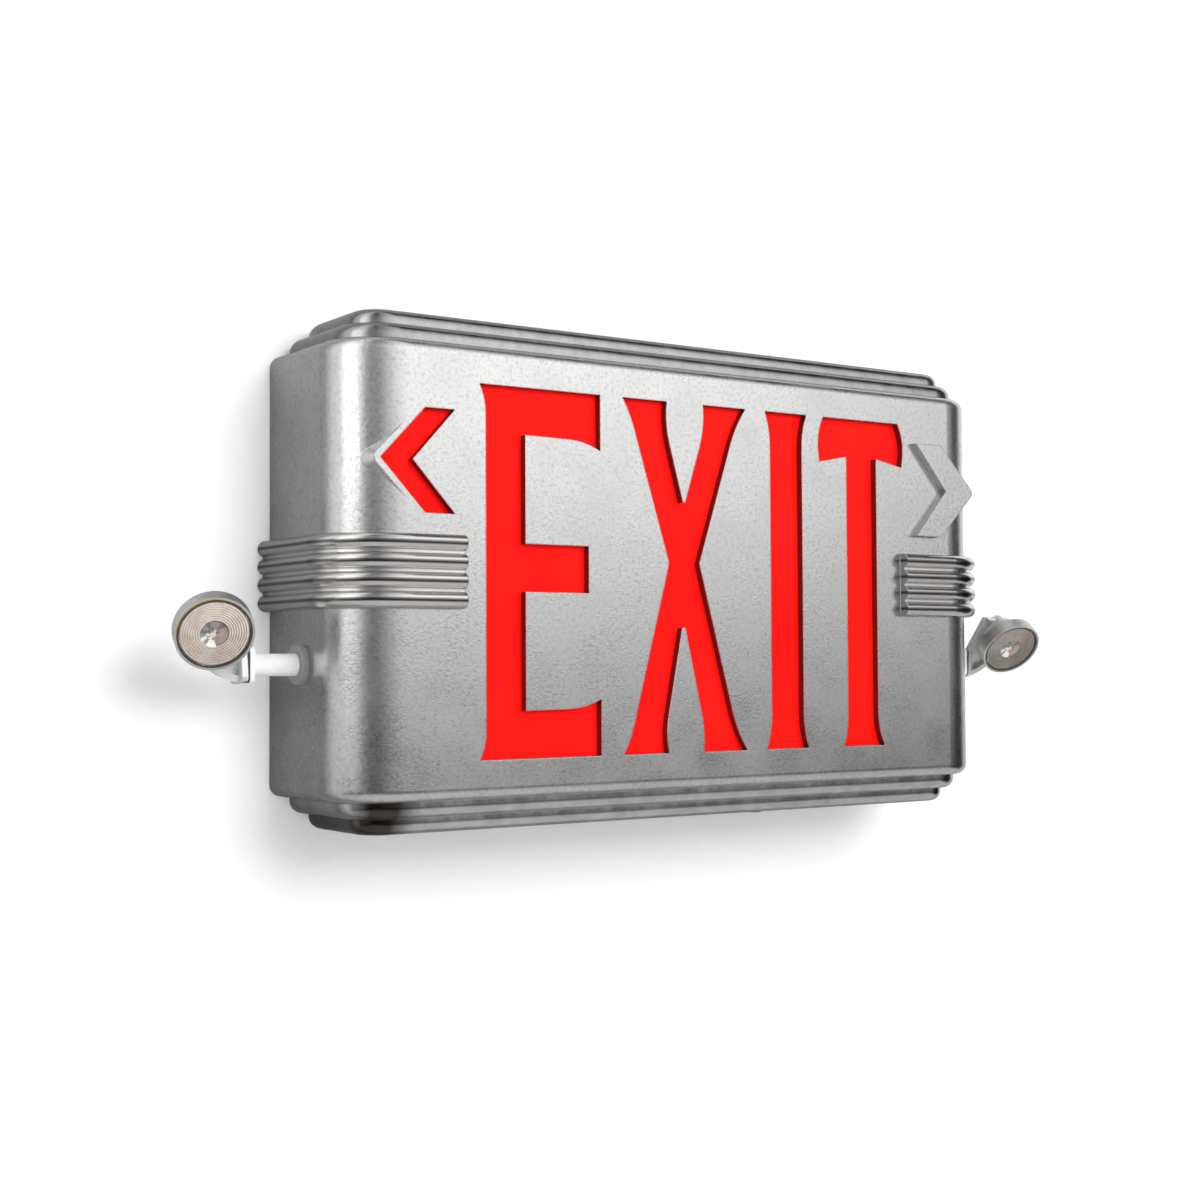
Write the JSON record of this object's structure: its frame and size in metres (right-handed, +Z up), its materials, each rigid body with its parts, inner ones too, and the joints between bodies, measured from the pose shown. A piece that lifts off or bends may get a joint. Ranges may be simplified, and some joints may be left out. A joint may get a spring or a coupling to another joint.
{
  "type": "emergency exit light",
  "caption": "Wall-mounted emergency exit sign with a stepped cast cover, cut-out lettering over a red panel and adjustable lamp heads at both sides.",
  "frame": {"origin": "middle of the sign on the wall plane, at the centre of the conduit entry in the back plate", "axes": "+Z up, +X to the right for a person who reads the sign, +Y into the wall; the lettering faces -Y"},
  "size_m": [0.4646, 0.0785, 0.2136],
  "materials": {
    "cast_metal": "cast, satin, fine grain",
    "red_acrylic": "translucent red, lit from behind",
    "white_sheet": "white, matt",
    "zinc_steel": "zinc plated",
    "green_board": "circuit board",
    "white_board": "circuit board, white",
    "core_steel": "varnished laminations",
    "sleeve_film": "shrink sleeve",
    "black_moulding": "moulded",
    "red_button": "moulded",
    "spring_steel": "drawn wire",
    "green_lens": "translucent green",
    "nickel": "satin",
    "arm_paint": "white, satin",
    "brass_nut": "plain",
    "black_rubber": "matt",
    "brass_trim": "polished",
    "clear_lens": "clear, moulded rings",
    "bright_dish": "vacuum metallised",
    "clear_optic": "clear, polished",
    "grey_sleeving": "sleeved wire"
  },
  "bodies": {
    "housing": {"sign_cover": "cast_metal", "chevron_plate": "cast_metal", "red_panel": "red_acrylic", "reflector_tray": "white_sheet", "tray_screws": "zinc_steel", "light_strip_upper": "white_board", "light_strip_lower": "white_board", "back_plate": "zinc_steel", "cover_screws": "zinc_steel", "charger_board": "green_board", "board_standoffs": "zinc_steel", "board_screws": "zinc_steel", "transformer": "core_steel", "transformer_screws": "zinc_steel", "battery_pack": "sleeve_film", "battery_strap": "zinc_steel", "strap_screws": "zinc_steel", "terminal_block": "black_moulding", "left_lamp_lead": "grey_sleeving", "right_lamp_lead": "grey_sleeving", "battery_lead": "grey_sleeving", "button_bush": "black_moulding", "button_spring": "spring_steel", "test_switch": "black_moulding", "pilot_light": "green_lens", "left_arm": "arm_paint", "left_arm_nut": "brass_nut", "left_arm_gasket": "black_rubber", "right_arm": "arm_paint", "right_arm_nut": "brass_nut", "right_arm_gasket": "black_rubber"},
    "test_button": {"test_button": "red_button"},
    "left_bracket": {"left_bracket": "nickel", "left_pan_pin": "zinc_steel"},
    "left_head": {"left_lamp_shell": "nickel", "left_lens_ring": "brass_trim", "left_lens_gasket": "black_rubber", "left_lamp_lens": "clear_lens", "left_lamp_dish": "bright_dish", "left_lamp_optic": "clear_optic", "left_lamp_board": "white_board"},
    "right_bracket": {"right_bracket": "nickel", "right_pan_pin": "zinc_steel"},
    "right_head": {"right_lamp_shell": "nickel", "right_lens_ring": "brass_trim", "right_lens_gasket": "black_rubber", "right_lamp_lens": "clear_lens", "right_lamp_dish": "bright_dish", "right_lamp_optic": "clear_optic", "right_lamp_board": "white_board"}
  },
  "joints": [
    {"name": "test_button_press", "type": "slide", "parent": "housing", "child": "test_button", "axis": [0, 0, 1], "range_m": [0, 0.002], "stiffness_N_per_m": 300, "springref_m": -0.001, "deforming": ["button_spring"]},
    {"name": "left_lamp_tilt", "type": "hinge", "parent": "housing", "child": "left_bracket", "pos_m": [-0.201, -0.03, -0.0374], "axis": [1, 0, 0], "range_deg": [-43, 50]},
    {"name": "left_lamp_pan", "type": "hinge", "parent": "left_bracket", "child": "left_head", "pos_m": [-0.2164, -0.03447, -0.01685], "axis": [0, -0.4664, 0.8846], "range_deg": [-33, 31]},
    {"name": "right_lamp_tilt", "type": "hinge", "parent": "housing", "child": "right_bracket", "pos_m": [0.201, -0.03, -0.0374], "axis": [1, 0, 0], "range_deg": [-56, 37]},
    {"name": "right_lamp_pan", "type": "hinge", "parent": "right_bracket", "child": "right_head", "pos_m": [0.2164, -0.03904, -0.01841], "axis": [0, -0.6561, 0.7547], "range_deg": [-10, 54]}
  ]
}
